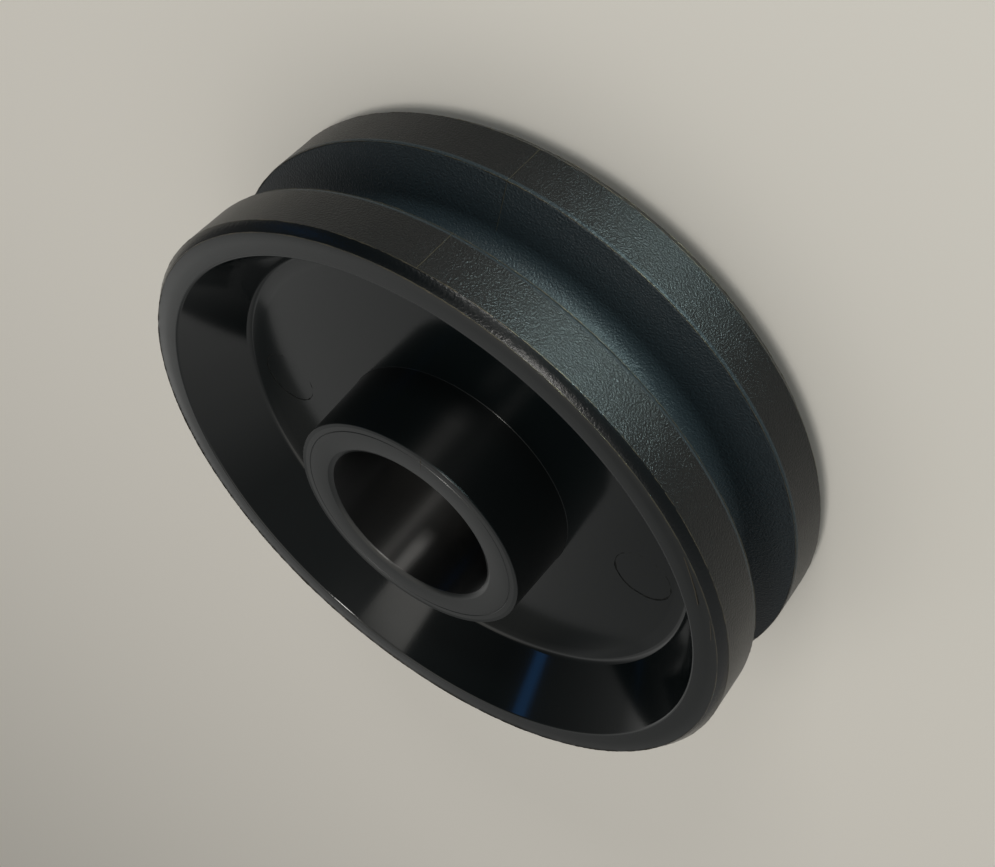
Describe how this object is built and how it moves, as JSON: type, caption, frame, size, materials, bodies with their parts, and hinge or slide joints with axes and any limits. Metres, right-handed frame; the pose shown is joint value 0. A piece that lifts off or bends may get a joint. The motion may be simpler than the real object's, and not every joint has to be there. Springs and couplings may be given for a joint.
{
  "type": "wire rope sheave",
  "caption": "Small moulded plastic sheave with a round-bottomed rope groove, two flat-faced flanges, a recessed web and a plain bored hub that stands out past the rim",
  "frame": {"origin": "centre of the wheel: on the bore's axis, at the middle plane of the rope groove", "axes": "+Z along the bore, upwards when the sheave lies on the end of its hub; +X and +Y lie in the groove's middle plane, and -Y is the side the closing render looks at"},
  "size_m": [0.06, 0.06, 0.0196],
  "materials": {
    "sheave": "black, spark-textured on the rim's bands and in the groove, satin on the end faces, smooth inside the recess and the bore"
  },
  "bodies": {
    "root": {"sheave": "sheave"}
  },
  "joints": []
}
